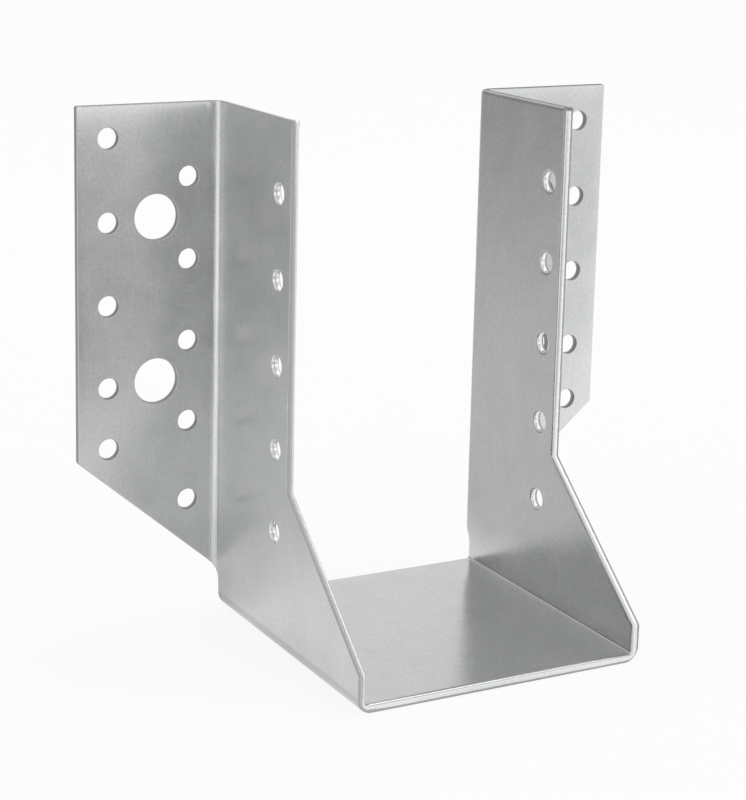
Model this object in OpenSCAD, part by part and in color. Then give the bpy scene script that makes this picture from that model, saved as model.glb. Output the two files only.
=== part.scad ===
// Joist hanger folded from one punched steel sheet.
// A joist drops in between two side walls and rests on the seat. A flange on each wall turns outwards
// and lies flat on the header beam. X runs across the joist, +Y points at the header and Z is up.
// The origin is under the middle of the hanger's depth, on the surface that the seat stands on.

/* [Sheet] */
// Thickness of the sheet
sheet_t = 2; // [1.5:0.1:3]
// Inside radius of every fold
fold_r = 1.5; // [0.5:0.1:3]

/* [Joist pocket] */
// Clear width between the side walls
joist_w = 70.5; // [40:0.5:160]
// Height from the underside of the seat to the top of the walls
hanger_h = 126; // [95:1:220]
// Depth from the header's face to the front of the seat
seat_depth = 77.5; // [60:0.5:110]
// Depth from the header's face to the front of the walls, above the shoulder
wall_depth = 41; // [28:0.5:56]
// Height of the upright lip at the front of each wall
lip_h = 9; // [7:0.5:20]
// Height of the shoulder, where the sloping front edge meets the upright one
shoulder_h = 40; // [25:0.5:60]
// Radius on the corner at the top of the lip
lip_corner_r = 1; // [0.4:0.1:3]

/* [Header flanges] */
// Reach of a flange, from the inside of its wall to its outer edge
flange_reach = 38; // [36:0.5:60]
// Height of the lower outer corner of a flange
toe_h = 40.5; // [30:0.5:55]
// Height at which the sloping foot of a flange reaches the outside of its wall
foot_h = 10; // [8:0.5:20]
// Radius where the sloping foot runs into the rear edge of the wall
foot_r = 4; // [1:0.5:5]
// Radius on the lower outer corner of a flange
toe_corner_r = 1; // [0.4:0.1:3]

/* [Nail holes] */
// Diameter of the nail holes
nail_d = 5; // [3:0.1:6]
// Height between one nail hole and the next in a column
nail_pitch = 20; // [15:0.5:30]
// Distance of the outer nail column from the outer edge of its flange
outer_edge_gap = 7.8; // [6:0.1:9]
// Distance of the inner nail column from the inside of its wall
inner_wall_gap = 9.7; // [9:0.1:11]
// Drop from the top of a flange to its first outer nail hole
outer_top_gap = 8.5; // [6:0.1:15]
// Drop from the top of a flange to its first inner nail hole
inner_top_gap = 18.5; // [16:0.1:20]
// Height of the lowest outer nail hole above the lower outer corner of its flange
toe_nail_rise = 2; // [0:0.1:5]
// Distance of the joist nail holes behind the front edge of their wall
joist_edge_gap = 6.2; // [5:0.1:10]
// Drop from the top of a wall to its first joist nail hole
joist_top_gap = 17.9; // [8:0.1:30]

/* [Bolt holes] */
// Diameter of the bolt holes
bolt_d = 11; // [9:0.1:13]
// Height between the bolt holes of one flange
bolt_pitch = 40; // [30:0.5:60]
// Distance of the bolt holes from the inside of their wall
bolt_wall_gap = 18; // [17.5:0.1:19]
// Drop from the top of a flange to its first bolt hole
bolt_top_gap = 27.8; // [27:0.1:30]

/* [Punching] */
// How far the punched holes sit above their even height on the left, and below it on the right
punch_offset = 0.7; // [-1.5:0.1:1.5]

/* [Hidden] */
$fn = 96;
arc_steps = 12;
cut_over = 1;
zinc = [0.68, 0.69, 0.69];
outer_r = fold_r + sheet_t;
pocket_half = joist_w / 2;
// Least height from the centre of a hole to what lies below it
nail_room = 10;
bolt_room = 14;
seat_room = 15;

// Slope of a flange's foot, as rise over run
foot_slope = (toe_h - foot_h) / (flange_reach - sheet_t);
// Half of the angle between the wall's rear edge and the sloping foot
foot_half_angle = (90 + atan(foot_slope)) / 2;
// Height at which the rear edge of a wall starts to curve into the foot
foot_start_h = foot_h - foot_r / tan(foot_half_angle);

outer_column = flange_reach - outer_edge_gap;
toe_nail_h = toe_h + toe_nail_rise;

outer_rows = concat(rows_down(hanger_h - outer_top_gap, toe_nail_h + nail_room, nail_pitch), [toe_nail_h]);
inner_rows = rows_down(hanger_h - inner_top_gap, foot_at(inner_wall_gap) + nail_room, nail_pitch);
bolt_rows = rows_down(hanger_h - bolt_top_gap, foot_at(bolt_wall_gap) + bolt_room, bolt_pitch);
joist_rows = rows_down(hanger_h - joist_top_gap, outer_r + seat_room, nail_pitch);

// Heights from the first one down to the lowest that is allowed
function rows_down(first, lowest, pitch) = [for (h = first; h >= lowest; h = h - pitch) h];

// Height of a flange's lower edge at a distance from the inside of its wall
function foot_at(x) = foot_h + (x - sheet_t) * foot_slope;

function unit(v) = v / norm(v);

// Points of the arc that rounds the corner between two neighbouring points
function round_corner(before, corner, after, r) =
    let (
        u = unit(before - corner),
        v = unit(after - corner),
        half = acos(u * v) / 2,
        centre = corner + unit(u + v) * r / sin(half),
        first = corner + u * r / tan(half) - centre,
        last = corner + v * r / tan(half) - centre,
        a0 = atan2(first.y, first.x),
        turn = (atan2(last.y, last.x) - a0 + 540) % 360 - 180
    )
    [for (i = [0 : arc_steps]) centre + r * [cos(a0 + turn * i / arc_steps), sin(a0 + turn * i / arc_steps)]];

// A quarter of a fold's ring, on the side of its centre where both coordinates are negative
module fold_quarter() {
    intersection() {
        difference() {
            circle(r = outer_r);
            circle(r = fold_r);
        }
        translate([-outer_r, -outer_r]) square(outer_r);
    }
}

// Right half of the seat, its fold and the wall, seen from the front
module pocket_half_section() {
    square([pocket_half - fold_r, sheet_t]);
    translate([pocket_half - fold_r, outer_r]) mirror([1, 0]) fold_quarter();
    translate([pocket_half, outer_r]) square([sheet_t, hanger_h - outer_r]);
}

// Outline of a wall, seen from the side with the header on the right
module side_outline() {
    shoulder = [-wall_depth, shoulder_h];
    lip_top = [-seat_depth, lip_h];
    lip_foot = [-seat_depth, 0];
    polygon(concat(
        [[-outer_r, 0], [-outer_r, hanger_h], [-wall_depth, hanger_h], shoulder],
        round_corner(shoulder, lip_top, lip_foot, lip_corner_r),
        [lip_foot]
    ));
}

// Seat and side walls: the folded section, cut to the outline of the walls
module pocket() {
    intersection() {
        rotate([90, 0, 0]) linear_extrude(seat_depth + cut_over) {
            pocket_half_section();
            mirror([1, 0]) pocket_half_section();
        }
        translate([-joist_w, 0, 0]) rotate([90, 0, 90]) linear_extrude(2 * joist_w) side_outline();
    }
}

// Section of a right flange from above: a lap inside the wall, the fold and the flat flange
module flange_section() {
    translate([0, -outer_r - cut_over]) square([sheet_t, cut_over]);
    translate([outer_r, -outer_r]) mirror([0, 1]) fold_quarter();
    translate([outer_r, -sheet_t]) square([flange_reach - outer_r, sheet_t]);
}

// Outline of a right flange from the front, with its sloping foot
module flange_outline() {
    wall_foot = [sheet_t, 0];
    foot = [sheet_t, foot_h];
    toe = [flange_reach, toe_h];
    toe_top = [flange_reach, hanger_h];
    polygon(concat(
        [[-cut_over, hanger_h], [-cut_over, foot_start_h]],
        round_corner(wall_foot, foot, toe, foot_r),
        round_corner(foot, toe, toe_top, toe_corner_r),
        [toe_top]
    ));
}

// Right flange with the fold that joins it to its wall
module flange() {
    translate([pocket_half, 0, 0]) intersection() {
        linear_extrude(hanger_h) flange_section();
        translate([0, cut_over, 0]) rotate([90, 0, 0])
            linear_extrude(outer_r + 3 * cut_over) flange_outline();
    }
}

// A hole through a flange
module header_hole(wall_gap, h, d) {
    translate([pocket_half + wall_gap, cut_over, h]) rotate([90, 0, 0])
        cylinder(d = d, h = sheet_t + 2 * cut_over);
}

// A hole through a side wall
module joist_hole(h) {
    translate([pocket_half - cut_over, joist_edge_gap - wall_depth, h]) rotate([0, 90, 0])
        cylinder(d = nail_d, h = sheet_t + 2 * cut_over);
}

// All the holes of the right side, raised by the punching offset of that side
module side_holes(rise) {
    for (h = outer_rows) header_hole(outer_column, h + rise, nail_d);
    for (h = inner_rows) header_hole(inner_wall_gap, h + rise, nail_d);
    for (h = bolt_rows) header_hole(bolt_wall_gap, h + rise, bolt_d);
    for (h = joist_rows) joist_hole(h + rise);
}

module joist_hanger() {
    color(zinc) translate([0, seat_depth / 2, 0]) difference() {
        union() {
            pocket();
            flange();
            mirror([1, 0, 0]) flange();
        }
        side_holes(-punch_offset);
        mirror([1, 0, 0]) side_holes(punch_offset);
    }
}

joist_hanger();
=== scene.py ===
# %% [markdown]
# # A joist hanger, folded from one sheet of galvanised steel
# The real hanger starts as a flat blank. A die cuts the outline and punches the holes, and a press
# then folds the walls up from the seat and the flanges out from the walls. This lesson makes it in
# the same order: blank, holes, fold lines, folds. So every edge, hole and streak of the rolled
# sheet ends up where the real steel has it.

# %% Load the measured frame
import math
import bmesh
import bpy
from mathutils import Matrix, Vector
from mathutils.geometry import delaunay_2d_cdt


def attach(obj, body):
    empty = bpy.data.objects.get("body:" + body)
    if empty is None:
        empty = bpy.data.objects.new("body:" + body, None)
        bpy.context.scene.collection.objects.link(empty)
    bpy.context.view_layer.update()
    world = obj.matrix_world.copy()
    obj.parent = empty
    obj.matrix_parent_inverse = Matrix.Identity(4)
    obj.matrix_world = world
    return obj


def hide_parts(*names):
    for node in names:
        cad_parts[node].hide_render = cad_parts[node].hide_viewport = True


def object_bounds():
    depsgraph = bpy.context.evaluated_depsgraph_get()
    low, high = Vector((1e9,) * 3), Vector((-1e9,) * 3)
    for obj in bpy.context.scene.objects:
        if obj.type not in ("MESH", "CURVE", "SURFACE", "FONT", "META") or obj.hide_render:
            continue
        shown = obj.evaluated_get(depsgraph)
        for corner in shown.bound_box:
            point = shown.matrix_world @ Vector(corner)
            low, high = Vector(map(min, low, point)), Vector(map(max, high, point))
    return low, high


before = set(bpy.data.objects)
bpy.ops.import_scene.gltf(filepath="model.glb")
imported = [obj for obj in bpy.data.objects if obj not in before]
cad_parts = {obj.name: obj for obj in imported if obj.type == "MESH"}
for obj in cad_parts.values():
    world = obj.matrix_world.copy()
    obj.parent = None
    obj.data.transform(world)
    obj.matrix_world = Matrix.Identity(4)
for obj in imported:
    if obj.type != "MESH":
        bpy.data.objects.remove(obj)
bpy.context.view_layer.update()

# %% [markdown]
# ## Sizes
# The sizes are those of the solid model, in millimetres, and MM turns them into Blender's metres.
# The neutral line of a fold neither stretches nor shrinks. In mild steel it lies a little inside
# the middle of the sheet, and it says how long a strip of blank each quarter turn takes.

# %% Sheet and folds
MM = 0.001
SHEET = 2.0
FOLD_R = 1.5
OUTER_R = FOLD_R + SHEET
NEUTRAL_SHARE = 0.44
FOLD_LENGTH = math.pi / 2 * (FOLD_R + NEUTRAL_SHARE * SHEET)

HEIGHT = 126.0
SEAT_FRONT = -38.75
HEADER = 38.75
WALL_INNER = 35.25
WALL_FRONT = -2.25
FLANGE_REACH = 38.0
LIP_HEIGHT = 9.0
SHOULDER_HEIGHT = 40.0
TOE_HEIGHT = 40.5
FOOT_HEIGHT = 10.0

SEAT_FLAT = WALL_INNER - FOLD_R
REAR_FLAT = HEADER - OUTER_R
WALL_START = SEAT_FLAT + FOLD_LENGTH
FLANGE_START = REAR_FLAT + FOLD_LENGTH


def blank_across(height):
    """Distance from the middle of the blank to a height on the wall."""
    return WALL_START + height - OUTER_R


def blank_along(reach):
    """Place along the blank of a distance from the inside of the wall, on the flange."""
    return FLANGE_START + reach - OUTER_R


flat_size = (2 * blank_across(HEIGHT), blank_along(FLANGE_REACH) - SEAT_FRONT)
print("Flat blank, mm:", [round(side, 1) for side in flat_size],
      "fold length:", round(FOLD_LENGTH, 2))

# %% [markdown]
# ## Camera
# The camera stands in front, to the left of the hanger and a little above it, with a long lens. Its
# place and turn come from measured edges and hole centres. The small shift is the photograph's
# framing: it moves the picture on the film and leaves the perspective alone.

# %% Camera
camera = bpy.data.cameras.new("camera")
camera.lens = 93.24
camera.shift_x = 0.05
camera.shift_y = -0.15
camera.clip_start = 0.01
camera_object = bpy.data.objects.new("camera", camera)
camera_object.location = (-0.24028, -0.40987, 0.18589)
camera_object.rotation_euler = [math.radians(a) for a in (78.138, -1.112, -27.462)]
bpy.context.scene.collection.objects.link(camera_object)
bpy.context.scene.camera = camera_object
print("Camera:", tuple(round(c, 3) for c in camera_object.location), camera.lens, "mm lens")

# %% [markdown]
# ## Outline of the blank
# The outline could be read off the solid, but a blank is drawn flat, as a die maker draws it. One
# half is written as corners with a radius each, and mirrored. A corner's radius becomes an arc, and
# each point keeps the direction that faces out of the steel, because the sheared edge needs it.

# %% Corners of the right half
CRISP_R = 0.5
SOFT_R = 1.0
FOOT_R = 5.0

foot_slope = (TOE_HEIGHT - FOOT_HEIGHT) / (FLANGE_REACH - SHEET)
foot_on_flange = FOOT_HEIGHT + (OUTER_R - SHEET) * foot_slope
foot_corner = foot_on_flange - FOLD_LENGTH * foot_slope

half_outline = [
    (blank_across(LIP_HEIGHT), SEAT_FRONT, SOFT_R),
    (blank_across(SHOULDER_HEIGHT), WALL_FRONT, CRISP_R),
    (blank_across(HEIGHT), WALL_FRONT, CRISP_R),
    (blank_across(HEIGHT), blank_along(FLANGE_REACH), CRISP_R),
    (blank_across(TOE_HEIGHT), blank_along(FLANGE_REACH), SOFT_R),
    (blank_across(foot_corner), REAR_FLAT, FOOT_R),
]
outline_corners = half_outline + [(-x, y, r) for x, y, r in reversed(half_outline)]
print("Corners of the right half:", len(half_outline))
print("Foot corner at", round(foot_corner, 2), "mm")

# %% Round the corners
ARC_STEP_DEG = 9
ROOM_IN_CORNER = 0.85
CORNER_CALM = 1.5


def rounded(corners, step_deg):
    """Outline with rounded corners: place, outward direction and room inwards of each point."""
    points = []
    count = len(corners)
    for i, (x, y, radius) in enumerate(corners):
        corner = Vector((x, y))
        before = (Vector(corners[i - 1][:2]) - corner).normalized()
        after = (Vector(corners[(i + 1) % count][:2]) - corner).normalized()
        half = before.angle(after) / 2
        centre = corner + (before + after).normalized() * radius / math.sin(half)
        convex = before.cross(after) < 0
        start = corner + before * radius / math.tan(half) - centre
        turn = (math.pi - 2 * half) * (1 if convex else -1)
        steps = max(3, round(abs(math.degrees(turn)) / step_deg))
        arc = []
        for k in range(steps + 1):
            arm = Matrix.Rotation(turn * k / steps, 2) @ start
            arc.append((centre + arm, arm.normalized() * (1 if convex else -1)))
        room = ROOM_IN_CORNER * radius if convex else math.inf
        points.append((arc[0][0] + before * CORNER_CALM, arc[0][1], math.inf))
        points += [(place, outward, room) for place, outward in arc]
        points.append((arc[-1][0] + after * CORNER_CALM, arc[-1][1], math.inf))
    return points


outline = rounded(outline_corners, ARC_STEP_DEG)
print("Outline:", len(outline), "points")

# %% [markdown]
# ## The sheared edge
# A shear doesn't cut straight through. The top of the edge is drawn over in a small roll, then
# comes a smooth burnished band, and the rest breaks off rough and leans inwards. A bevel modifier
# gives one even rounding, so the true section is written as rows instead: how far each lies inside
# the nominal edge, and how deep in the sheet.

# %% Section of the edge
EDGE_ROWS = [
    (1.20, 0.00),
    (0.84, 0.03),
    (0.54, 0.09),
    (0.30, 0.18),
    (0.12, 0.30),
    (0.03, 0.43),
    (0.00, 0.58),
    (0.00, 1.45),
    (0.04, 1.53),
    (0.09, 1.88),
    (0.14, 1.97),
    (0.24, 2.00),
]


def row_tilts(rows):
    """Share of outward and upward direction of the surface at each row."""
    slopes = []
    for (in0, deep0), (in1, deep1) in zip(rows, rows[1:]):
        slopes.append(Vector((deep1 - deep0, in0 - in1)).normalized())
    inner = [(slopes[i - 1] + slopes[i]).normalized() for i in range(1, len(slopes))]
    return [Vector((0, 1))] + inner + [Vector((0, -1))]


EDGE_TILTS = row_tilts(EDGE_ROWS)
print("Edge section:", len(EDGE_ROWS), "rows")

# %% Build the blank
def build_blank(points):
    """Flat blank with its sheared outline. The upper side becomes the inside of the pocket."""
    mesh = bmesh.new()
    rim = mesh.verts.layers.float_vector.new("rim")
    loops = []
    for inset, depth in EDGE_ROWS:
        loop = []
        for place, outward, room in points:
            flat = place - outward * inset * min(1.0, room / EDGE_ROWS[0][0])
            vert = mesh.verts.new((flat.x * MM, flat.y * MM, (SHEET - depth) * MM))
            vert[rim] = (outward.x, outward.y, 0)
            loop.append(vert)
        loops.append(loop)
    count = len(points)
    for upper, lower in zip(loops, loops[1:]):
        for i in range(count):
            j = (i + 1) % count
            mesh.faces.new((upper[i], lower[i], lower[j], upper[j]))
    for loop, up in ((loops[0], True), (loops[-1], False)):
        flat = [v.co.xy for v in loop]
        ring = [(i, (i + 1) % count) for i in range(count)]
        _, _, faces, _, _, _ = delaunay_2d_cdt(flat, ring, [], 1, 1e-9)
        for corners in faces:
            corners = corners if up else list(reversed(corners))
            mesh.faces.new([loop[c] for c in corners])
    return mesh


blank = build_blank(outline)
print("Blank:", len(blank.verts), "points,", len(blank.faces), "faces, volume",
      round(blank.calc_volume(signed=True) / MM ** 3), "mm3")

# %% [markdown]
# ## Writing node trees as sums
# Both Geometry Nodes and materials do their sums with Math nodes. A wire wraps one output socket
# and makes the right node when it is added or multiplied, so a rule reads as it would on paper.

# %% Wires
class Wire:
    """An output socket of a node tree that can be used in sums."""

    def __init__(self, tree, socket):
        self.tree = tree
        self.socket = socket

    def math(self, operation, *others):
        node = self.tree.nodes.new("ShaderNodeMath")
        node.operation = operation
        for slot, value in zip(node.inputs, (self, *others)):
            plug(slot, value)
        return Wire(self.tree, node.outputs[0])

    def __add__(self, other):
        return self.math("ADD", other)

    def __sub__(self, other):
        return self.math("SUBTRACT", other)

    def __mul__(self, other):
        return self.math("MULTIPLY", other)

    def __truediv__(self, other):
        return self.math("DIVIDE", other)

    def __rsub__(self, other):
        return (self * -1) + other

    __radd__ = __add__


def plug(slot, value):
    """Connects a wire to an input socket, or writes a plain value on it."""
    if isinstance(value, Wire):
        value.tree.links.new(value.socket, slot)
    else:
        slot.default_value = value


def node_of(tree, kind, inputs=None, **settings):
    """New node with its settings and inputs. An input is named, or numbered where names repeat."""
    node = tree.nodes.new(kind)
    for name, value in settings.items():
        setattr(node, name, value)
    for name, value in (inputs or {}).items():
        plug(node.inputs[name], value)
    return node


def wire_of(tree, kind, inputs=None, output=0, **settings):
    return Wire(tree, node_of(tree, kind, inputs, **settings).outputs[output])


def new_group(name, kind, inputs, outputs):
    """Node group with named inputs and outputs. Each input is (name, socket type, value)."""
    tree = bpy.data.node_groups.new(name, kind)
    for socket_name, socket_type, value in inputs:
        socket = tree.interface.new_socket(socket_name, in_out="INPUT", socket_type=socket_type)
        if value is not None:
            socket.default_value = value
    for socket_name, socket_type in outputs:
        tree.interface.new_socket(socket_name, in_out="OUTPUT", socket_type=socket_type)
    entry = tree.nodes.new("NodeGroupInput")
    wires = {s.name: Wire(tree, s) for s in entry.outputs if s.name}
    return tree, wires, tree.nodes.new("NodeGroupOutput")


def run_tree(mesh, name, tree, values):
    """Puts a Geometry Nodes tree on a mesh, evaluates it once and returns the plain mesh."""
    holder = bpy.data.objects.new(name, mesh)
    bpy.context.scene.collection.objects.link(holder)
    modifier = holder.modifiers.new(name, "NODES")
    modifier.node_group = tree
    for item in tree.interface.items_tree:
        if item.in_out == "INPUT" and item.name in values:
            modifier[item.identifier] = values[item.name]
    evaluated = holder.evaluated_get(bpy.context.evaluated_depsgraph_get())
    result = bpy.data.meshes.new_from_object(evaluated)
    bpy.data.objects.remove(holder)
    return result


GEOMETRY, FLOAT, VECTOR = "NodeSocketGeometry", "NodeSocketFloat", "NodeSocketVector"
print("Wires ready")

# %% [markdown]
# ## Where the holes go
# Nail holes run in columns at an even pitch, and the bolt holes sit between them. The punch sat a
# little high on the left and low on the right, as on the real one, so each column gets that shift.

# %% Hole centres
NAIL_R = 2.5
BOLT_R = 5.5
NAIL_PITCH = 20.0
BOLT_PITCH = 40.0
OUTER_COLUMN = FLANGE_REACH - 7.8
INNER_COLUMN = 9.7
BOLT_COLUMN = 18.0
WALL_COLUMN = WALL_FRONT + 6.2
TOE_NAIL_HEIGHT = 42.5
DROP_FROM_TOP = {"outer nails": 8.5, "inner nails": 18.5, "bolts": 27.8, "wall nails": 17.9}
PUNCH_SHIFT = 0.7


def heights_of(column, count, pitch=NAIL_PITCH):
    """Heights of a column's holes, from the top one down."""
    return [HEIGHT - DROP_FROM_TOP[column] - pitch * i for i in range(count)]


flange_nails = [(OUTER_COLUMN, h) for h in heights_of("outer nails", 4) + [TOE_NAIL_HEIGHT]]
flange_nails += [(INNER_COLUMN, h) for h in heights_of("inner nails", 5)]
flange_bolts = [(BOLT_COLUMN, h) for h in heights_of("bolts", 2, BOLT_PITCH)]
wall_nails = heights_of("wall nails", 5)

nail_centres, bolt_centres = [], []
for side in (-1, 1):
    shift = -side * PUNCH_SHIFT
    nail_centres += [(side * blank_across(h + shift), WALL_COLUMN) for h in wall_nails]
    for centres, places in ((nail_centres, flange_nails), (bolt_centres, flange_bolts)):
        centres += [(side * blank_across(h + shift), blank_along(reach)) for reach, h in places]
print("Holes:", len(nail_centres), "for nails,", len(bolt_centres), "for bolts")

# %% [markdown]
# ## Punching
# Each hole could be drawn into the outline, but a die punches, and so does this tree: it turns a
# cylinder into a punch with the sheared edge's own section, sets one on every centre, and takes
# them all from the blank in one Boolean. Only the hole's radius changes between nails and bolts.
# A hole's rim is drawn over less than an outline's, and the punch reaches past both faces.

# %% The punch's section
PUNCH_ROLL = 0.62
ROLL_ROWS = slice(1, 7)
CUT_ROWS = slice(7, -1)
PUNCH_ROWS = [(1.30, -0.5), (0.80, -0.01)]
PUNCH_ROWS += [(inset * PUNCH_ROLL, deep) for inset, deep in EDGE_ROWS[ROLL_ROWS]]
PUNCH_ROWS += EDGE_ROWS[CUT_ROWS] + [(0.34, 2.04), (0.40, 2.5)]
HOLE_SIDES = {"Nail": 48, "Bolt": 80}
print("Punch:", len(PUNCH_ROWS), "rows")

# %% The punch, as a tree
def by_row(tree, row, values):
    """Picks one value for each row of the punch."""
    node = tree.nodes.new("GeometryNodeIndexSwitch")
    node.data_type = "FLOAT"
    while len(node.index_switch_items) < len(values):
        node.index_switch_items.new()
    plug(node.inputs["Index"], row)
    for number, value in enumerate(values):
        node.inputs[str(number)].default_value = value * MM
    return Wire(tree, node.outputs[0])


def punch_tree():
    tree, inputs, group_out = new_group(
        "punch", "GeometryNodeTree",
        [("Hole radius", FLOAT, NAIL_R * MM), ("Sides", "NodeSocketInt", HOLE_SIDES["Nail"])],
        [("Punch", GEOMETRY)])
    steps = len(PUNCH_ROWS) - 1
    can = node_of(tree, "GeometryNodeMeshCylinder",
                  {"Vertices": inputs["Sides"], "Side Segments": steps,
                   "Radius": 1.0, "Depth": 1.0})
    place = node_of(tree, "ShaderNodeSeparateXYZ",
                    {0: wire_of(tree, "GeometryNodeInputPosition")})
    x, y, z = (Wire(tree, s) for s in place.outputs)
    row = ((0.5 - z) * steps).math("ROUND")
    radius = inputs["Hole radius"] + by_row(tree, row, [inset for inset, _ in PUNCH_ROWS])
    depth = by_row(tree, row, [deep for _, deep in PUNCH_ROWS])
    shaped = wire_of(tree, "ShaderNodeCombineXYZ",
                     {"X": x * radius, "Y": y * radius, "Z": SHEET * MM - depth})
    moved = wire_of(tree, "GeometryNodeSetPosition",
                    {"Geometry": Wire(tree, can.outputs["Mesh"]), "Position": shaped})
    plug(group_out.inputs["Punch"], moved)
    return tree


punch = punch_tree()
print("Punch tree:", len(punch.nodes), "nodes")

# %% The punching, as a tree
galvanised = bpy.data.materials.new("galvanised sheet")


def centres_of(name, centres):
    """Loose points at the hole centres."""
    mesh = bpy.data.meshes.new(name)
    mesh.from_pydata([(x * MM, y * MM, 0) for x, y in centres], [], [])
    return bpy.data.objects.new(name, mesh)


def punching_tree():
    tree, inputs, group_out = new_group(
        "punch the blank", "GeometryNodeTree",
        [("Blank", GEOMETRY, None), ("Nail centres", "NodeSocketObject", None),
         ("Bolt centres", "NodeSocketObject", None),
         ("Nail hole radius", FLOAT, NAIL_R * MM), ("Bolt hole radius", FLOAT, BOLT_R * MM),
         ("Sheet finish", "NodeSocketMaterial", None)],
        [("Punched blank", GEOMETRY)])
    join = tree.nodes.new("GeometryNodeJoinGeometry")
    for size, sides in HOLE_SIDES.items():
        die = node_of(tree, "GeometryNodeGroup", node_tree=punch)
        plug(die.inputs["Hole radius"], inputs[f"{size} hole radius"])
        plug(die.inputs["Sides"], sides)
        centres = wire_of(tree, "GeometryNodeObjectInfo",
                          {"Object": inputs[f"{size} centres"]}, output="Geometry")
        stamped = wire_of(tree, "GeometryNodeInstanceOnPoints",
                          {"Points": centres, "Instance": Wire(tree, die.outputs[0])})
        plug(join.inputs[0], stamped)
    punches = wire_of(tree, "GeometryNodeRealizeInstances", {0: Wire(tree, join.outputs[0])})
    cut = node_of(tree, "GeometryNodeMeshBoolean", operation="DIFFERENCE", solver="EXACT")
    plug(cut.inputs["Mesh 1"], inputs["Blank"])
    plug(cut.inputs["Mesh 2"], punches)
    real = wire_of(tree, "GeometryNodeRealizeInstances", {0: Wire(tree, cut.outputs["Mesh"])})
    dressed = wire_of(tree, "GeometryNodeSetMaterial",
                      {"Geometry": real, "Material": inputs["Sheet finish"]})
    plug(group_out.inputs[0], dressed)
    return tree


punching = punching_tree()
print("Punching tree:", len(punching.nodes), "nodes")

# %% Punch the blank
blank_mesh = bpy.data.meshes.new("blank")
blank.to_mesh(blank_mesh)
blank.free()
centre_points = [centres_of("nail centres", nail_centres), centres_of("bolt centres", bolt_centres)]
punched_mesh = run_tree(blank_mesh, "punching", punching, {
    "Nail centres": centre_points[0],
    "Bolt centres": centre_points[1],
    "Nail hole radius": NAIL_R * MM,
    "Bolt hole radius": BOLT_R * MM,
    "Sheet finish": galvanised,
})
for helper in centre_points:
    bpy.data.objects.remove(helper)
print("Punched blank:", len(punched_mesh.vertices), "points,", len(punched_mesh.polygons), "faces,",
      "attributes:", [a.name for a in punched_mesh.attributes])

# %% [markdown]
# ## Marking the fold lines
# A face can only bend where it has points. Subdividing everything would do, but cutting the
# punched blank along a few straight lines in each fold zone gives round folds, and leaves the flat
# faces alone. Each point also gets the direction that its surface faces on the flat blank, worked
# out from the edge's section, so that the flat faces shade perfectly flat up to their edges.

# %% Cut along the fold lines
FOLD_STEPS = 12
FACE_DEPTH = 0.005
HOLE_REACH = 0.9


def cut_fold_lines(mesh):
    steps = [FOLD_LENGTH * k / FOLD_STEPS for k in range(FOLD_STEPS + 1)]
    lines = [((side * (SEAT_FLAT + s), 0, 0), (1, 0, 0)) for side in (-1, 1) for s in steps]
    lines += [((0, REAR_FLAT + s, 0), (0, 1, 0)) for s in steps]
    bmesh.ops.triangulate(mesh, faces=mesh.faces)
    for place, across in lines:
        bmesh.ops.bisect_plane(
            mesh, geom=mesh.verts[:] + mesh.edges[:] + mesh.faces[:], dist=1e-8,
            plane_co=Vector(place) * MM, plane_no=across)


def tilt_at(depth):
    """Outward and upward share of the edge's direction at a depth in the sheet."""
    for (row0, row1), (tilt0, tilt1) in zip(zip(EDGE_ROWS, EDGE_ROWS[1:]),
                                            zip(EDGE_TILTS, EDGE_TILTS[1:])):
        if depth <= row1[1]:
            return tilt0.lerp(tilt1, (depth - row0[1]) / (row1[1] - row0[1])).normalized()
    return EDGE_TILTS[-1]


def face_flat_points(mesh):
    """Writes each point's direction on the flat blank, and marks the faces that were sheared."""
    rim = mesh.verts.layers.float_vector["rim"]
    facing = mesh.verts.layers.float_vector.new("flat_normal")
    sheared = mesh.faces.layers.float.new("sheared")
    holes = [(Vector(c), NAIL_R) for c in nail_centres]
    holes += [(Vector(c), BOLT_R) for c in bolt_centres]
    for vert in mesh.verts:
        depth = SHEET - vert.co.z / MM
        if depth < FACE_DEPTH or depth > SHEET - FACE_DEPTH:
            vert[facing] = (0, 0, 1 if depth < SHEET / 2 else -1)
            continue
        place = vert.co.xy / MM
        outward = vert[rim].xy
        for centre, radius in holes:
            if (centre - place).length < radius + HOLE_REACH:
                outward = centre - place
                vert[rim] = (0, 0, 0)
                break
        tilt = tilt_at(depth)
        outward = outward.normalized() * tilt.x
        vert[facing] = (outward.x, outward.y, tilt.y)
    for face in mesh.faces:
        face[sheared] = float(abs(face.normal.z) < 0.5)


print("Fold lines in each fold:", FOLD_STEPS + 1)

# %% Mark the blank
flat = bmesh.new()
flat.from_mesh(punched_mesh)
cut_fold_lines(flat)
face_flat_points(flat)
flat_mesh = bpy.data.meshes.new("marked blank")
flat.to_mesh(flat_mesh)
print("Marked blank:", len(flat.verts), "points, volume",
      round(flat.calc_volume(signed=True) / MM ** 3), "mm3, open edges:",
      sum(len(e.link_faces) != 2 for e in flat.edges))
flat.free()

# %% [markdown]
# ## Folding
# A bend modifier turns a mesh about one axis, but this sheet has four folds in two directions. The
# rule is short enough to write down: inside a fold zone, the way along the blank becomes an angle,
# and the depth in the sheet becomes a radius. Steel that is squeezed on the inside of a fold swells
# a little at its ends, and that is in the rule too. The seat's folds are pressed tight on the
# inside, so there the arc is a superellipse: a power below 1 on sine and cosine squares it off.
# Every point also keeps its place on the flat blank, so that the rolled sheet's grain can follow it
# through the folds.

# %% Helpers for places and attributes
def named(tree, name, kind="FLOAT_VECTOR"):
    return wire_of(tree, "GeometryNodeInputNamedAttribute", {"Name": name}, data_type=kind)


def split(tree, vector):
    node = node_of(tree, "ShaderNodeSeparateXYZ", {0: vector})
    return [Wire(tree, s) for s in node.outputs]


def vector_of(tree, x, y, z):
    return wire_of(tree, "ShaderNodeCombineXYZ", {"X": x, "Y": y, "Z": z})


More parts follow.
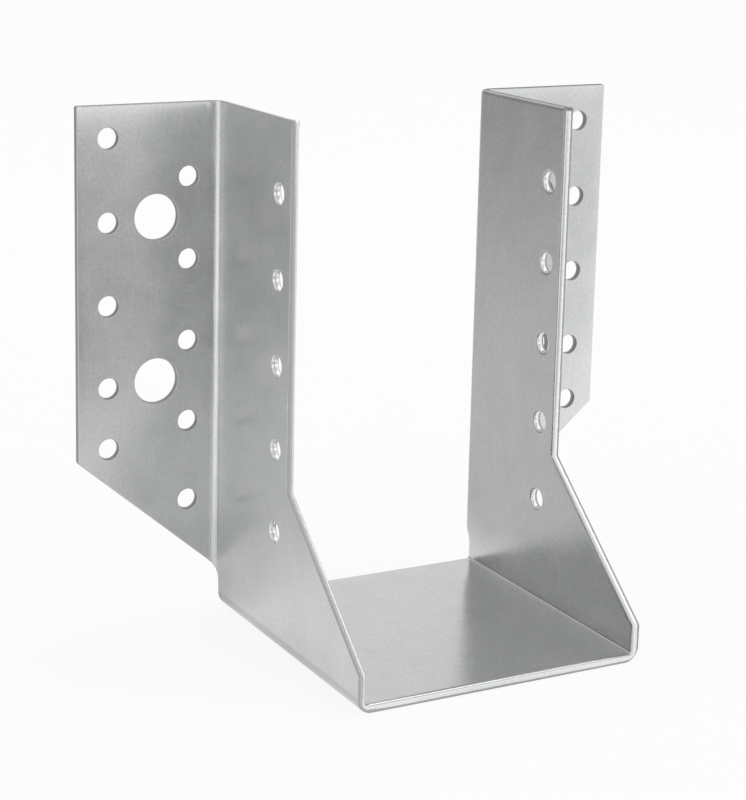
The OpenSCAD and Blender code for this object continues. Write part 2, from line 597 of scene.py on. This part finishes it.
def keep_as(tree, geometry, name, value):
    """Stores a vector on every point."""
    node = tree.nodes.new("GeometryNodeStoreNamedAttribute")
    node.data_type = "FLOAT_VECTOR"
    node.domain = "POINT"
    plug(node.inputs["Geometry"], geometry)
    node.inputs["Name"].default_value = name
    plug(node.inputs["Value"], value)
    return Wire(tree, node.outputs["Geometry"])


print("Place and attribute helpers ready")

# %% The folding rule, as a tree
QUARTER = math.pi / 2
SEAT_FOLD_CORNER = 0.36
SWELLING = 0.12


def folding_tree():
    tree, inputs, group_out = new_group(
        "fold the blank", "GeometryNodeTree",
        [("Marked blank", GEOMETRY, None), ("Sheet thickness", FLOAT, SHEET * MM),
         ("Inside radius", FLOAT, FOLD_R * MM), ("Fold length", FLOAT, FOLD_LENGTH * MM),
         ("Half of flat seat", FLOAT, SEAT_FLAT * MM),
         ("Flange fold begins", FLOAT, REAR_FLAT * MM),
         ("Corner of seat folds", FLOAT, SEAT_FOLD_CORNER), ("Swelling", FLOAT, SWELLING * MM),
         ("Sheet finish", "NodeSocketMaterial", None),
         ("Edge finish", "NodeSocketMaterial", None)],
        [("Hanger", GEOMETRY)])
    sheet, fold_r = inputs["Sheet thickness"], inputs["Inside radius"]
    fold_length, seat = inputs["Fold length"], inputs["Half of flat seat"]
    rear = inputs["Flange fold begins"]
    flat_place = wire_of(tree, "GeometryNodeInputPosition")
    x, y, z = split(tree, flat_place)
    side, across, depth = x.math("SIGN"), x.math("ABSOLUTE"), sheet - z

    def turn_of(distance):
        share = (distance / fold_length).math("MAXIMUM", 0.0).math("MINIMUM", 1.0)
        return share * QUARTER

    up, out = turn_of(across - seat), turn_of(y - rear)
    rim_x, rim_y, _ = split(tree, named(tree, "rim"))
    squeeze = ((up * 2).math("SINE") - (out * 2).math("SINE")) * (1 - depth * 2 / sheet)
    swell = squeeze * inputs["Swelling"]
    across = across + rim_x * side * swell
    y = y + rim_y * swell
    up, out = turn_of(across - seat), turn_of(y - rear)

    sin_up, cos_up = up.math("SINE"), up.math("COSINE").math("MAXIMUM", 0.0)
    sin_out, cos_out = out.math("SINE"), out.math("COSINE")
    corner = inputs["Corner of seat folds"]
    power = corner + depth / sheet * (1 - corner)
    lean_x, lean_z = sin_up.math("POWER", 2 - power), cos_up.math("POWER", 2 - power)
    lean = (lean_x * lean_x + lean_z * lean_z).math("SQRT")
    up_r, out_r = fold_r + depth, fold_r + z
    wall = (across - seat - fold_length).math("MAXIMUM", 0.0)
    flange = (y - rear - fold_length).math("MAXIMUM", 0.0)
    new_x = across.math("MINIMUM", seat) + up_r * sin_up.math("POWER", power) + wall * cos_up
    new_x = new_x + out_r * (1 - cos_out) + flange * sin_out
    new_y = y.math("MINIMUM", rear) + out_r * sin_out + flange * cos_out
    new_z = (fold_r + sheet) - up_r * cos_up.math("POWER", power) + wall * sin_up

    flat_x, flat_y, flat_up = split(tree, named(tree, "flat_normal"))
    flat_x, lean_x, lean_z = flat_x * side, lean_x / lean, lean_z / lean
    bent_x = (flat_x * lean_z + flat_y * sin_out - flat_up * lean_x * cos_out) * side
    bent_y = flat_y * cos_out + flat_up * sin_out
    bent_z = flat_x * lean_x + flat_up * lean_z

    kept = keep_as(tree, inputs["Marked blank"], "blank_mm",
                   wire_of(tree, "ShaderNodeVectorMath", {0: flat_place, "Scale": 1 / MM},
                           operation="SCALE"))
    kept = keep_as(tree, kept, "bent_normal", vector_of(tree, bent_x, bent_y, bent_z))
    folded = wire_of(tree, "GeometryNodeSetPosition",
                     {"Geometry": kept,
                      "Position": vector_of(tree, new_x * side, new_y, new_z)})
    real = wire_of(tree, "GeometryNodeRealizeInstances", {0: folded})
    dressed = wire_of(tree, "GeometryNodeSetMaterial",
                      {"Geometry": real, "Material": inputs["Sheet finish"]})
    edge_faces = wire_of(tree, "ShaderNodeMath", {0: named(tree, "sheared", "FLOAT"), 1: 0.5},
                         operation="GREATER_THAN")
    dressed = wire_of(tree, "GeometryNodeSetMaterial",
                      {"Geometry": dressed, "Selection": edge_faces,
                       "Material": inputs["Edge finish"]})
    plug(group_out.inputs[0], dressed)
    return tree


folding = folding_tree()
print("Folding tree:", len(folding.nodes), "nodes")

# %% Fold the blank
sheared_steel = bpy.data.materials.new("sheared edge")
hanger_mesh = run_tree(flat_mesh, "folding", folding, {
    "Sheet finish": galvanised,
    "Edge finish": sheared_steel,
})
print("Hanger:", len(hanger_mesh.vertices), "points, materials:",
      [material.name for material in hanger_mesh.materials])

# %% [markdown]
# ## The finished piece
# The tree's result becomes a plain mesh that stands for the solid. The directions carried through
# the folds become its normals, so a bend shades as a bend and a flat stays flat.

# %% Hand the piece over
bent = [Vector(v.vector) for v in hanger_mesh.attributes["bent_normal"].data]
hanger_mesh.polygons.foreach_set("use_smooth", [True] * len(hanger_mesh.polygons))
hanger_mesh.normals_split_custom_set_from_vertices(bent)
for name in ("rim", "flat_normal", "bent_normal", "sheared"):
    hanger_mesh.attributes.remove(hanger_mesh.attributes[name])

hanger = bpy.data.objects.new("folded_hanger", hanger_mesh)
bpy.context.scene.collection.objects.link(hanger)
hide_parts("joist_hanger")
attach(hanger, "root")
corners = [[round(c / MM, 2) for c in corner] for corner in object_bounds()]
print("Dressed box, mm:", corners)

# %% [markdown]
# ## Marks that both finishes share
# The rolling mill leaves fine streaks and soft clouds along the sheet, and handling leaves specks
# and thin scratches. The flat faces and the sheared edges show both, in different measure, so each
# is a node group that is built once. They read the place on the flat blank, so they run through the
# folds.

# %% Helpers for masks
def noise(tree, place, scale, detail=2.0, roughness=0.5, distortion=0.0):
    return wire_of(tree, "ShaderNodeTexNoise",
                   {"Vector": place, "Scale": scale, "Detail": detail, "Roughness": roughness,
                    "Distortion": distortion}, output="Fac")


def ramp(tree, value, low, high):
    """Smooth step from 0 at one level to 1 at another. It falls where low is above high."""
    node = node_of(tree, "ShaderNodeMapRange",
                   {"Value": value, "From Min": low, "From Max": high},
                   interpolation_type="SMOOTHSTEP")
    return Wire(tree, node.outputs["Result"])


def stretched(tree, place, x, y, z):
    return wire_of(tree, "ShaderNodeVectorMath", {0: place, 1: (x, y, z)}, operation="MULTIPLY")


def turned(tree, place, degrees):
    return wire_of(tree, "ShaderNodeVectorRotate",
                   {"Vector": place, "Angle": math.radians(degrees)}, rotation_type="Z_AXIS")


print("Mask helpers ready")

# %% Rolled grain, as a group
CLOUD_SHIFT = 70


def rolled_grain_group():
    tree, inputs, group_out = new_group(
        "rolled grain", "ShaderNodeTree",
        [("Place", VECTOR, None), ("Streaks per mm", FLOAT, 2.0), ("Streak length", FLOAT, 30.0)],
        [("Streaks", FLOAT), ("Clouds", FLOAT), ("Flow", FLOAT)])
    place, fine = inputs["Place"], inputs["Streaks per mm"]
    x, y, z = split(tree, place)
    along = x / inputs["Streak length"]
    streaks = noise(tree, vector_of(tree, along, y, z), fine, detail=4.0, roughness=0.6)
    clouds = noise(tree, vector_of(tree, x, y + CLOUD_SHIFT, z), scale=0.09, detail=5.0,
                   roughness=0.55, distortion=0.4)
    flow = noise(tree, vector_of(tree, x * 0.25, y, z), scale=0.16)
    for name, value in (("Streaks", streaks), ("Clouds", clouds), ("Flow", flow)):
        plug(group_out.inputs[name], value)
    return tree


rolled_grain = rolled_grain_group()
print("Group:", rolled_grain.name)

# %% Handling marks, as a group
SCRATCH_LANES = ((3, 14.0, 0.16), (-11, 9.0, 0.12), (77, 7.0, 0.14))


def handling_group():
    tree, inputs, group_out = new_group(
        "handling marks", "ShaderNodeTree",
        [("Place", VECTOR, None), ("Specks per mm", FLOAT, 0.3),
         ("Share with specks", FLOAT, 0.2), ("Share scratched", FLOAT, 0.01)],
        [("Specks", FLOAT), ("Scratches", FLOAT)])
    place = inputs["Place"]
    cells = node_of(tree, "ShaderNodeTexVoronoi",
                    {"Vector": place, "Scale": inputs["Specks per mm"]})
    chance = wire_of(tree, "ShaderNodeSeparateColor", {0: Wire(tree, cells.outputs["Color"])})
    lucky = ramp(tree, chance, 1 - inputs["Share with specks"], 1.0)
    specks = ramp(tree, Wire(tree, cells.outputs["Distance"]) / (lucky + 0.001), 0.07, 0.03)
    scratches = None
    for degrees, length, width in SCRATCH_LANES:
        lane = stretched(tree, turned(tree, place, degrees), 1 / length, 1 / width, 1)
        cells = node_of(tree, "ShaderNodeTexVoronoi", {"Vector": lane, "Scale": 1.0},
                        voronoi_dimensions="2D")
        chance = wire_of(tree, "ShaderNodeSeparateColor", {0: Wire(tree, cells.outputs["Color"])})
        line = ramp(tree, Wire(tree, cells.outputs["Distance"]), 0.42, 0.12)
        line = line * ramp(tree, chance, 1 - inputs["Share scratched"], 1)
        scratches = line if scratches is None else scratches.math("MAXIMUM", line)
    plug(group_out.inputs["Specks"], specks)
    plug(group_out.inputs["Scratches"], scratches)
    return tree


handling_marks = handling_group()
print("Group:", handling_marks.name)

# %% Helpers for materials
COLOR_INPUTS = (6, 7)
COLOR_OUTPUT = 2


def group_wires(tree, group, inputs):
    node = node_of(tree, "ShaderNodeGroup", node_tree=group)
    for name, value in inputs.items():
        plug(node.inputs[name], value)
    return {s.name: Wire(tree, s) for s in node.outputs}


def start_material(material):
    """Empties a material and gives it a Principled shader. Returns its tree and that shader."""
    material.use_nodes = True
    tree = material.node_tree
    tree.nodes.clear()
    shader = tree.nodes.new("ShaderNodeBsdfPrincipled")
    output = tree.nodes.new("ShaderNodeOutputMaterial")
    tree.links.new(shader.outputs[0], output.inputs["Surface"])
    return tree, shader


def blank_place(tree):
    return wire_of(tree, "ShaderNodeAttribute", attribute_name="blank_mm", output="Vector")


def mixed_color(tree, factor, first, second):
    """Mix of two colours. The Mix node repeats its sockets' names, so its colours are numbered."""
    node = node_of(tree, "ShaderNodeMix", {"Factor": factor}, data_type="RGBA")
    for slot, color in zip(COLOR_INPUTS, (first, second)):
        plug(node.inputs[slot], color)
    return Wire(tree, node.outputs[COLOR_OUTPUT])


def weighed(masks, weights, start=0.0):
    """Sum of masks, each with its own weight."""
    total = start
    for name, weight in weights.items():
        total = masks[name] * weight + total
    return total


def bumped(tree, height_mm):
    return wire_of(tree, "ShaderNodeBump", {"Height": height_mm, "Distance": MM})


print("Material helpers ready")

# %% [markdown]
# ## Galvanised sheet
# Zinc that was dipped, wiped and rolled is a half-bright, faintly cool metal: it mirrors its own
# flanges softly. One grey with a noise on it would look like plastic, so the finish is built up
# from what happened to the sheet: the rolls left streaks and clouds, hands and stacking left
# smudges and specks, the shear drew the flanges' rims over, and the press left thin lines, ridges
# and a slight curve next to each fold. Most of it is height and roughness, because that is what
# moves reflections.

# %% Where the shear drew the faces over
DRAWN_TOP = {"length": 3.0, "depth": 0.32}
DRAWN_SIDE = {"length": 1.5, "depth": 0.12}


def drawn_over(tree, place):
    """How far the shear drew the flanges' faces over, towards their upper and outer edges."""
    x, y, z = split(tree, place)
    fall = 0.0
    for inset, rim in ((blank_across(HEIGHT) - x.math("ABSOLUTE"), DRAWN_TOP),
                       (blank_along(FLANGE_REACH) - y, DRAWN_SIDE)):
        fall = (inset * (-1 / rim["length"])).math("EXPONENT") * rim["depth"] + fall
    return fall * ramp(tree, y, FLANGE_START, FLANGE_START + 2)


print("Drawn over by", DRAWN_TOP["depth"], "mm at the top,", DRAWN_SIDE["depth"], "at the side")

# %% What the press left along the folds
TAIL_LENGTH = 1.8
SEAT_TAIL = 0.06
FLANGE_TAIL = -0.06
WALL_TAIL = 0.25
LINE_WIDTH = 0.22
LINE_CORE = 0.04


def fold_tails(tree, place):
    """The flat parts still curve a little next to a fold: up on its inside, down on its outside."""
    x, y, z = split(tree, place)
    across = x.math("ABSOLUTE")
    rise = 0.0
    for distance, depth in ((across - SEAT_FLAT, SEAT_TAIL), (WALL_START - across, SEAT_TAIL),
                            (FLANGE_START - y, FLANGE_TAIL)):
        rise = (distance.math("MINIMUM", 0.0) / TAIL_LENGTH).math("EXPONENT") * depth + rise
    wall_side = ((y - REAR_FLAT).math("MINIMUM", 0.0) / TAIL_LENGTH).math("EXPONENT")
    return rise * (z - SHEET / 2) + wall_side * WALL_TAIL * (SHEET / 2 - z)


def press_marks(tree, place):
    """Thin lines that the press left on both sides of every fold."""
    x, y, z = split(tree, place)
    across = x.math("ABSOLUTE")
    marks = None
    for distance in (across - SEAT_FLAT, across - WALL_START, y - REAR_FLAT, y - FLANGE_START):
        line = ramp(tree, distance.math("ABSOLUTE"), LINE_WIDTH, LINE_CORE)
        marks = line if marks is None else marks.math("MAXIMUM", line)
    gaps = noise(tree, place, scale=0.35, detail=3.0, roughness=0.6)
    return marks * ramp(tree, gaps, 0.42, 0.58)


def fold_ridges(tree, place):
    """Fine ridges along the flanges' folds, where the punch's edge rubbed the steel."""
    x, y, z = split(tree, place)
    inside = ramp(tree, y, REAR_FLAT - 0.5, REAR_FLAT)
    inside = inside * ramp(tree, y, FLANGE_START + 0.3, FLANGE_START)
    ridges = noise(tree, vector_of(tree, x * 0.012, y, 0.0), scale=2.6, roughness=0.7)
    return ridges * inside


def rubbed_by_the_die(tree, place):
    """Painted shade on the outside of the seat's folds, down by the floor."""
    x, y, z = split(tree, place)
    across = x.math("ABSOLUTE")
    zone = ramp(tree, across, SEAT_FLAT - 1.5, SEAT_FLAT)
    zone = zone * ramp(tree, across, WALL_START + 0.8, WALL_START)
    return zone * ramp(tree, z, 1.2, 0.8)


print("Tails reach", TAIL_LENGTH, "mm from the folds")

# %% The sheet's finish
ZINC_DARK = (0.515, 0.527, 0.523, 1)
ZINC_LIGHT = (0.632, 0.640, 0.636, 1)
LAID_OVER = {
    "Smudges": (0.3, (0.43, 0.438, 0.436, 1)),
    # The darker grey on the outside of the seat's folds is painted shade.
    "Seat fold shade": (0.6, (0.41, 0.418, 0.416, 1)),
    "Specks": (0.6, (0.27, 0.275, 0.275, 1)),
    "Scratches": (0.3, (0.80, 0.81, 0.81, 1)),
}
ZINC_TONE = {"Clouds": 1.2, "Streaks": 0.5, "Mottle": 1.7}
ZINC_ROUGHNESS = 0.20
ROUGHNESS_BY = {"Clouds": 0.14, "Streaks": 0.06, "Smudges": 0.06, "Wiped": 0.05,
                "Specks": 0.2, "Scratches": 0.1}
HEIGHT_BY_MM = {"Streaks": 0.0018, "Flow": 0.035, "Mottle": 0.012, "Specks": -0.03,
                "Scratches": -0.004, "Fold tails": 1.0, "Drawn over": -1.0,
                "Press marks": -0.02, "Fold ridges": 0.09}


def sheet_masks(tree, place):
    """All that varies over the sheet. Noises that only shift a value are centred on 0."""
    x, y, z = split(tree, place)
    masks = group_wires(tree, rolled_grain,
                        {"Place": place, "Streaks per mm": 2.6, "Streak length": 28.0})
    masks["Mottle"] = noise(tree, place, scale=1.3, detail=4.0, roughness=0.65)
    for name in ("Clouds", "Streaks", "Mottle"):
        masks[name] = masks[name] - 0.5
    masks.update(group_wires(tree, handling_marks,
                             {"Place": place, "Specks per mm": 0.42,
                              "Share with specks": 0.35, "Share scratched": 0.004}))
    smears = noise(tree, stretched(tree, place, 0.5, 1, 1), scale=0.5, detail=7.0, roughness=0.72)
    masks["Smudges"] = ramp(tree, smears, 0.58, 0.76)
    masks["Wiped"] = ramp(tree, x.math("ABSOLUTE"), SEAT_FLAT, WALL_START)
    # Painted shade on the outside of the seat's folds.
    masks["Seat fold shade"] = rubbed_by_the_die(tree, place)
    masks["Fold tails"] = fold_tails(tree, place)
    masks["Drawn over"] = drawn_over(tree, place)
    masks["Press marks"] = press_marks(tree, place)
    masks["Fold ridges"] = fold_ridges(tree, place)
    return masks


def finish_sheet():
    tree, shader = start_material(galvanised)
    masks = sheet_masks(tree, blank_place(tree))
    color = mixed_color(tree, weighed(masks, ZINC_TONE, start=0.5), ZINC_DARK, ZINC_LIGHT)
    for name, (share, over) in LAID_OVER.items():
        color = mixed_color(tree, masks[name] * share, color, over)
    plug(shader.inputs["Base Color"], color)
    plug(shader.inputs["Roughness"], weighed(masks, ROUGHNESS_BY, start=ZINC_ROUGHNESS))
    plug(shader.inputs["Normal"], bumped(tree, weighed(masks, HEIGHT_BY_MM)))
    shader.inputs["Metallic"].default_value = 1.0


finish_sheet()
print("Galvanised sheet:", len(galvanised.node_tree.nodes), "nodes")

# %% [markdown]
# ## Sheared edge
# The edge shows bare steel under a smear of zinc. The burnished band near the inside of the pocket
# is smooth and bright, with fine lines across the sheet. The broken band beyond it is dull and
# grainy, and darkest next to the outer face, where a small burr and painted shade darken it. Depth
# in the sheet tells the two apart, and a noise lets the line between them wander. How deep the
# steel sheared before it broke depends on the gap between punch and die, so it differs round the
# blank: it broke early on the flanges, in their holes and on the top of the right wall, and the
# nail holes of the left wall are bright nearly all the way through. On the left wall's front edge
# the early break is painted shade, with less of it near the top.

# %% Where the steel broke early or late
BURNISHED = 1.38
# On the left wall's front edge the early break is painted shade, with less of it near the top.
BREAK_DEPTH = {"Shaded left front": 0.72, "Lighter top of shaded left front": 1.65, "Right top": -0.60,
               "Flange": 0.35, "Left nail holes": 1.95}
# Next to the outer face the break is darkened by a small burr and by painted shade.
BREAK_AND_SHADE_DARKNESS = {"Flange": 0.5, "Right wall": 0.2, "Burr and shade by outer face": 0.36}
RIGHT_TOP_DARKNESS = 0.85


def edge_zones(tree, place):
    """Parts of the blank's edges. The zones of the depths are added up where they overlap."""
    x, y, z = split(tree, place)
    from_top = blank_across(HEIGHT) - x.math("ABSOLUTE")
    left, right = ramp(tree, x, -28, -40), ramp(tree, x, 28, 40)
    # The left wall's front edge is dulled as painted shade.
    shaded_left_front = ramp(tree, y, 0.0, -1.0) * left
    on_flange = ramp(tree, y, REAR_FLAT, FLANGE_START)
    punched = ramp(tree, y, 0.4, 1.0) * ramp(tree, y, 8.0, 7.0) * ramp(tree, from_top, 12, 13)
    return {
        "Shaded left front": shaded_left_front,
        "Lighter top of shaded left front": shaded_left_front * ramp(tree, from_top, 24, 8),
        "Right top": right * ramp(tree, from_top, 1.0, 0.5),
        "Flange": on_flange,
        "Left nail holes": punched * left,
        "Right wall": right * (1 - on_flange),
        # A small burr and painted shade darken the break next to the outer face.
        "Burr and shade by outer face": ramp(tree, SHEET - z, 1.1, 1.75) * (1 - on_flange),
    }


def burnished_depth(tree, place):
    """Depth at which the sheared steel broke, and how dark the break is."""
    zones = edge_zones(tree, place)
    changes = {name: depth - BURNISHED for name, depth in BREAK_DEPTH.items()}
    limit = weighed(zones, changes, start=BURNISHED)
    darkness = weighed(zones, BREAK_AND_SHADE_DARKNESS)
    return limit, darkness.math("MAXIMUM", zones["Right top"] * RIGHT_TOP_DARKNESS)


print("Burnished to", BURNISHED, "mm, but to", BREAK_DEPTH)

# %% The edge's finish
BURNISHED_DARK = (0.70, 0.71, 0.71, 1)
BURNISHED_LIGHT = (0.88, 0.89, 0.89, 1)
BROKEN_DARK = (0.32, 0.325, 0.33, 1)
BROKEN_LIGHT = (0.68, 0.69, 0.69, 1)
BROKEN_DEEP_AND_SHADE = (0.18, 0.185, 0.19, 1)
ROLLED_GREY = (0.45, 0.455, 0.455, 1)
SPECK_GREY = (0.25, 0.25, 0.25, 1)
WANDER_MM = 0.55
EDGE_ROUGHNESS = 0.24


def finish_edge():
    tree, shader = start_material(sheared_steel)
    place = blank_place(tree)
    x, y, z = split(tree, place)
    depth = SHEET - z
    across = vector_of(tree, x, y, z * 0.12)
    grain = group_wires(tree, rolled_grain,
                        {"Place": across, "Streaks per mm": 3.0, "Streak length": 1.0})
    marks = group_wires(tree, handling_marks,
                        {"Place": place, "Specks per mm": 1.1, "Share with specks": 0.3,
                         "Share scratched": 0.0})
    wander = noise(tree, place, scale=1.4, detail=5.0, roughness=0.7) - 0.5
    limit, darkness = burnished_depth(tree, place)
    broken = ramp(tree, depth - limit + wander * WANDER_MM, -0.08, 0.10)
    grit = noise(tree, place, scale=6.0, detail=4.0, roughness=0.7)
    burnished = mixed_color(tree, grain["Streaks"], BURNISHED_DARK, BURNISHED_LIGHT)
    dull = mixed_color(tree, grit, BROKEN_DARK, BROKEN_LIGHT)
    dull = mixed_color(tree, darkness, dull, BROKEN_DEEP_AND_SHADE)
    color = mixed_color(tree, broken, burnished, dull)
    roll = ramp(tree, depth, 0.55, 0.35) * ramp(tree, x.math("ABSOLUTE"), WALL_START, SEAT_FLAT)
    color = mixed_color(tree, roll * 0.6, color, ROLLED_GREY)
    color = mixed_color(tree, marks["Specks"] * 0.4, color, SPECK_GREY)
    roughness = (grain["Streaks"] - 0.5) * 0.12 + broken * 0.25 + EDGE_ROUGHNESS
    height = grain["Streaks"] * 0.003 * (1 - broken) + grit * broken * 0.05
    plug(shader.inputs["Base Color"], color)
    plug(shader.inputs["Roughness"], roughness)
    plug(shader.inputs["Normal"], bumped(tree, height))
    shader.inputs["Metallic"].default_value = 1.0


finish_edge()
print("Sheared edge:", len(sheared_steel.node_tree.nodes), "nodes")

# %% [markdown]
# ## What stands around the hanger
# A metal has hardly any colour of its own: it shows the room. This studio is a white sweep with a
# few darker and brighter places, and each can be found in the photograph. The camera's side is
# darker, darkest round the camera, and the left flange shows it. So are the back of the room, which
# the walls mirror, and the ceiling. Two softboxes stand left and right. The left one draws the
# bright lines in the flange's fold, and a pale strip above the camera lights the rims. Every place
# is a range of bearing and height with soft borders, because a rough mirror shows no sharp ones.
# One group holds all this, and the floor and the world both read it, so that they meet without a
# seam.

# %% Places in the studio
DEGREES = 180 / math.pi
# Each place: change in brightness, bearing with the reach of its core and its border, and the
# heights between which it fades in or out, all in degrees. A bearing counts from the front.
PLACES = {
    "Camera side": (-0.47, None, ((-25, -16), (-3.4, -6.4))),
    "Camera": (-0.23, (-9, 7, 17), ((-30, -22), (2, -4))),
    "Above camera": (0.35, (6, 26, 38), ((-4, 2), (30, 20))),
    "Left softbox": (0.45, (-72, 17, 31), ((-44, -28),)),
    "Right softbox": (0.3, (80, 22, 34), ((-40, -26), (61, 55))),
    "Far right": (-0.5, (130, 14, 23), ((-8, -2), (16, 11))),
    "Far left": (-0.42, (-150, 14, 32), ((-14, 3), (21.0, 17.5))),
    "Back": (-0.27, (-165, 24, 46), ((21.0, 17.5),)),
    "Overhead": (-0.28, None, ((20, 34),)),
    # Under the hanger the floor shows the steel a painted contact shadow.
    "Shade under the hanger": (-0.25, None, ((-54, -68),)),
}
CAMERA_SIDE_TURN = ((-50, -20), (44, 29))
print("Places in the studio:", len(PLACES))


# %% The studio's brightness by direction
def between(tree, value, steps):
    """Product of several smooth steps of one value."""
    share = 1.0
    for low, high in steps:
        share = ramp(tree, value, low, high) * share
    return share


def studio_group():
    tree, inputs, group_out = new_group(
        "studio light", "ShaderNodeTree",
        [("Direction", VECTOR, None)] + [(name, FLOAT, place[0]) for name, place in PLACES.items()],
        [("Light", "NodeSocketColor")])
    x, y, z = split(tree, inputs["Direction"])
    flat = (x * x + y * y).math("SQRT").math("MAXIMUM", 0.0001)
    height = (z / flat).math("ARCTANGENT") * DEGREES
    turn = x.math("ARCTAN2", y * -1) * DEGREES

    def towards(bearing, narrow, wide):
        """1 for bearings near a given one, 0 beyond a wider one."""
        aim = (math.sin(math.radians(bearing)), -math.cos(math.radians(bearing)))
        share = (x * aim[0] + y * aim[1]) / flat
        return ramp(tree, share, math.cos(math.radians(wide)), math.cos(math.radians(narrow)))

    masks = {}
    for name, (change, bearing, steps) in PLACES.items():
        masks[name] = between(tree, height, steps)
        if bearing:
            masks[name] = masks[name] * towards(*bearing)
    masks["Camera side"] = masks["Camera side"] * between(tree, turn, CAMERA_SIDE_TURN)
    masks["Overhead"] = masks["Overhead"] * (1 - masks["Right softbox"])
    strength = weighed(masks, {name: inputs[name] for name in PLACES}, start=1.0)
    plug(group_out.inputs["Light"], vector_of(tree, strength, strength, strength))
    return tree


studio_light = studio_group()
print("Studio group:", len(studio_light.nodes), "nodes")

# %% Floor
FLOOR_RADIUS = 4.0
FLOOR_GREY = (0.82, 0.82, 0.82, 1)
FLOOR_ROUGHNESS = 0.8
WHITE = (1, 1, 1, 1)
HANGER_MIDDLE = (0, 0, 0.07)
CAMERA_WHITE = 0.88
floor_mesh = bpy.data.meshes.new("floor")
shape = bmesh.new()
bmesh.ops.create_circle(shape, cap_ends=True, radius=FLOOR_RADIUS, segments=96)
shape.to_mesh(floor_mesh)
shape.free()
floor = bpy.data.objects.new("floor", floor_mesh)
bpy.context.scene.collection.objects.link(floor)


def mirror_rays(tree, rays):
    return Wire(tree, rays.outputs["Is Glossy Ray"]).math(
        "MAXIMUM", Wire(tree, rays.outputs["Is Transmission Ray"]))


def pale_floor():
    """Pale and matt. The camera sees mostly the backdrop's white on it, and the steel sees the
    studio's painted light and shade glowing on it instead of the lit floor.
    """
    material = bpy.data.materials.new("pale floor")
    tree, shader = start_material(material)
    shader.inputs["Base Color"].default_value = FLOOR_GREY
    shader.inputs["Roughness"].default_value = FLOOR_ROUGHNESS
    rays = tree.nodes.new("ShaderNodeLightPath")
    camera_ray, mirror_ray = Wire(tree, rays.outputs["Is Camera Ray"]), mirror_rays(tree, rays)
    place = wire_of(tree, "ShaderNodeTexCoord", output="Object")
    seen_from = wire_of(tree, "ShaderNodeVectorMath", {0: place, 1: HANGER_MIDDLE},
                        operation="SUBTRACT")
    studio = group_wires(tree, studio_light, {"Direction": seen_from})
    # For the steel the floor glows with the studio's painted light and shade.
    light = mixed_color(tree, camera_ray, studio["Light"], WHITE)
    glow = node_of(tree, "ShaderNodeEmission", {"Color": light})
    blend = node_of(tree, "ShaderNodeMixShader", {0: camera_ray * CAMERA_WHITE + mirror_ray})
    tree.links.new(shader.outputs[0], blend.inputs[1])
    tree.links.new(glow.outputs[0], blend.inputs[2])
    tree.links.new(blend.outputs[0], tree.nodes["Material Output"].inputs["Surface"])
    return material


floor_mesh.materials.append(pale_floor())
print("Floor:", FLOOR_RADIUS, "m in radius")

# %% Backdrop
def studio_world():
    world = bpy.data.worlds.new("studio")
    world.use_nodes = True
    tree = world.node_tree
    tree.nodes.clear()
    direction = wire_of(tree, "ShaderNodeTexCoord", output="Generated")
    studio = group_wires(tree, studio_light, {"Direction": direction})
    camera_ray = Wire(tree, tree.nodes.new("ShaderNodeLightPath").outputs["Is Camera Ray"])
    light = mixed_color(tree, camera_ray, studio["Light"], WHITE)
    sky = node_of(tree, "ShaderNodeBackground", {"Color": light})
    output = tree.nodes.new("ShaderNodeOutputWorld")
    tree.links.new(sky.outputs[0], output.inputs["Surface"])
    bpy.context.scene.world = world


studio_world()
print("Backdrop:", bpy.context.scene.world.name)

# %% Lamps
LAMP_AIM = Vector((0, 0, 0.06))


def softbox(name, place, size, power):
    """Square area lamp that faces the middle of the hanger."""
    lamp = bpy.data.lights.new(name, "AREA")
    lamp.size = size
    lamp.energy = power
    holder = bpy.data.objects.new(name, lamp)
    holder.location = place
    aim = LAMP_AIM - Vector(place)
    holder.rotation_euler = aim.to_track_quat("-Z", "Y").to_euler()
    bpy.context.scene.collection.objects.link(holder)


softbox("top softbox", place=(0.5, 0.3, 1.6), size=0.8, power=4.0)
print("Lamps:", len(bpy.data.lights))

# %% [markdown]
# ## View
# The view transform is plain, so a colour renders as it is written.

# %% Finish
bpy.context.scene.view_settings.view_transform = "Standard"
